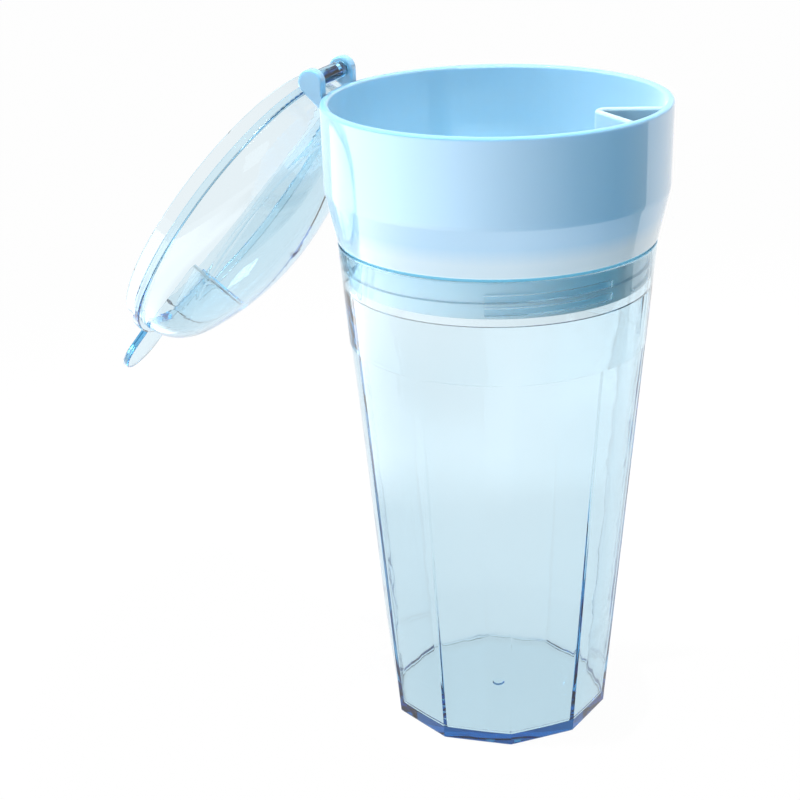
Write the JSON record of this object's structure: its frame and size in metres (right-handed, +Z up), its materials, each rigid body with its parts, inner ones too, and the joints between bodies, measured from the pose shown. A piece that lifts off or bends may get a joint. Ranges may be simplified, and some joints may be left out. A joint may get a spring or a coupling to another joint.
{
  "type": "snack and drink cup",
  "caption": "Clear tapered drink tumbler with a screw-in snack bowl that has a straw channel, a sealing ring and a hinged clear domed lid.",
  "frame": {"origin": "centre of the tumbler's underside, where the cup stands", "axes": "+Z up along the cup's axis, -X towards the lid's hinge, +X towards the straw channel, +Y completes the right-handed set"},
  "size_m": [0.1695, 0.1, 0.1989],
  "materials": {
    "clear_tumbler": "clear gloss, light blue tint",
    "bowl_plastic": "gloss",
    "seal_rubber": "matte",
    "clear_lid": "clear gloss, light blue tint"
  },
  "bodies": {
    "tumbler": {"tumbler": "clear_tumbler"},
    "seal": {"neck_seal": "seal_rubber"},
    "bowl": {"snack_bowl": "bowl_plastic"},
    "lid": {"lid": "clear_lid"}
  },
  "joints": [
    {"name": "bowl_lift", "type": "slide", "parent": "tumbler", "child": "seal", "axis": [0, 0, 1], "range_m": [0, 0.0066]},
    {"name": "bowl_turn", "type": "hinge", "parent": "seal", "child": "bowl", "pos_m": [0, 0, 0.15], "axis": [0, 0, 1], "range_deg": [0, 640]},
    {"name": "lid_hinge", "type": "hinge", "parent": "bowl", "child": "lid", "pos_m": [-0.0525, 0, 0.1951], "axis": [0, -1, 0], "range_deg": [-235.7, 0]}
  ],
  "couplings": [
    {"joint": "bowl_lift", "follows": "bowl_turn", "m_per_rad": 0.00058092}
  ]
}
